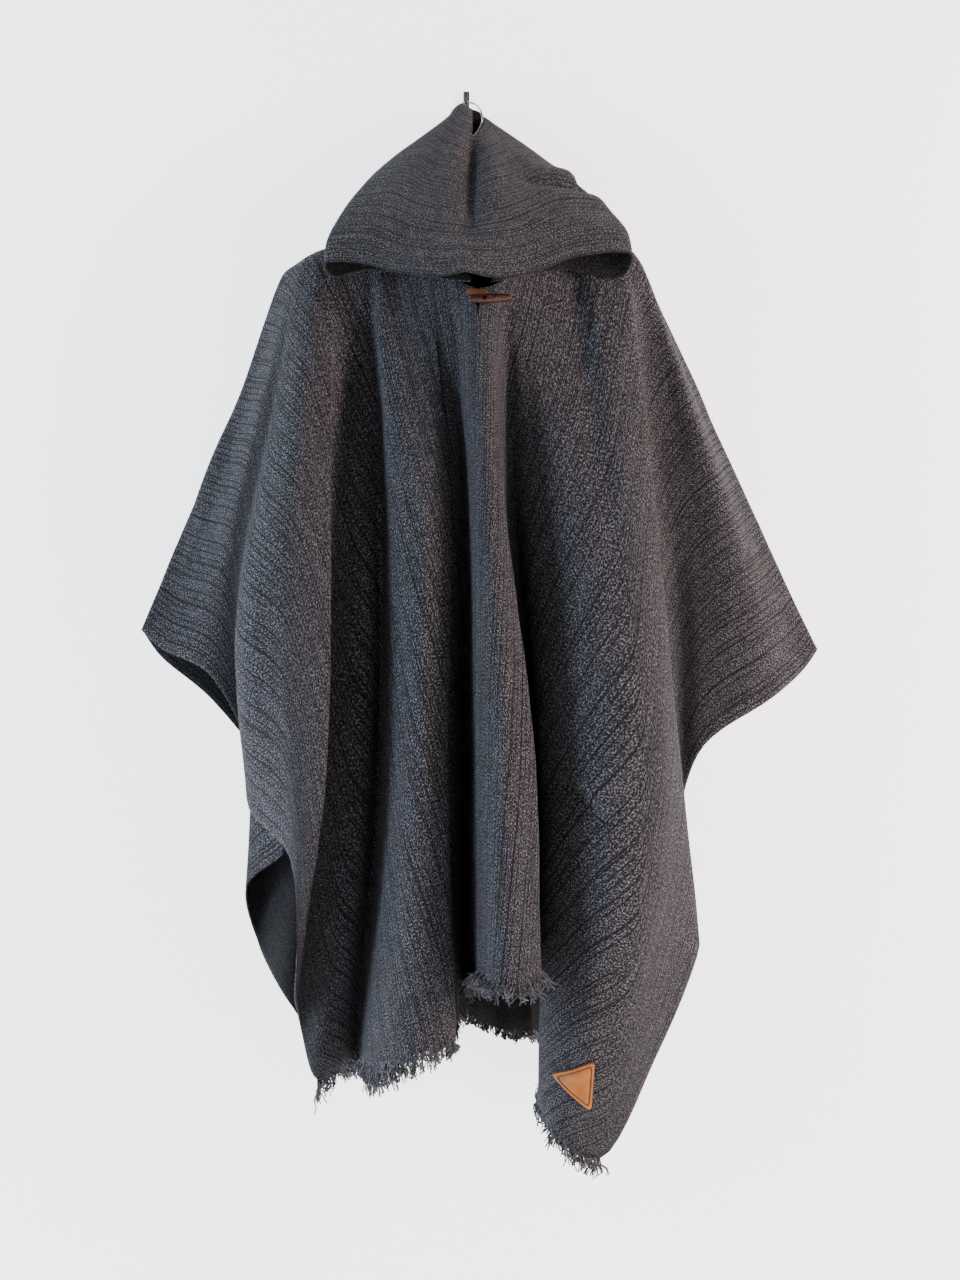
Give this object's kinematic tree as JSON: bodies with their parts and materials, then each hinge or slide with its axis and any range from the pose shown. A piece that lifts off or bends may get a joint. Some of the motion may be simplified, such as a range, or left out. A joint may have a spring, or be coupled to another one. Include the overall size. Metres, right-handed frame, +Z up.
{
  "type": "hooded poncho hung on a wall hook",
  "caption": "Hooded woven wool poncho with a wooden toggle, short fringe and bare leather patch, hung by a ring from a slim wall hook.",
  "frame": {"origin": "centre of the wall hook's flat back face, where it meets the wall", "axes": "+Z up, +Y into the wall, +X to the right as the poncho is seen from the room"},
  "size_m": [0.8443, 0.2713, 1.3562],
  "materials": {
    "wool": "woven, melange charcoal grey, slightly napped",
    "leather": "smooth vegetable-tanned, matt",
    "wood": "turned, stained red-brown, waxed",
    "steel": "bright drawn wire",
    "iron": "matt black"
  },
  "bodies": {
    "root": {"body_front_left": "wool", "body_front_middle": "wool", "body_front_right": "wool", "body_back_left": "wool", "body_back_right": "wool", "hood_left": "wool", "hood_right": "wool", "fringe_front": "wool", "fringe_back": "wool", "leather_patch": "leather", "toggle_tab": "leather", "toggle": "wood", "hang_ring": "steel", "wall_hook": "iron"}
  },
  "joints": []
}
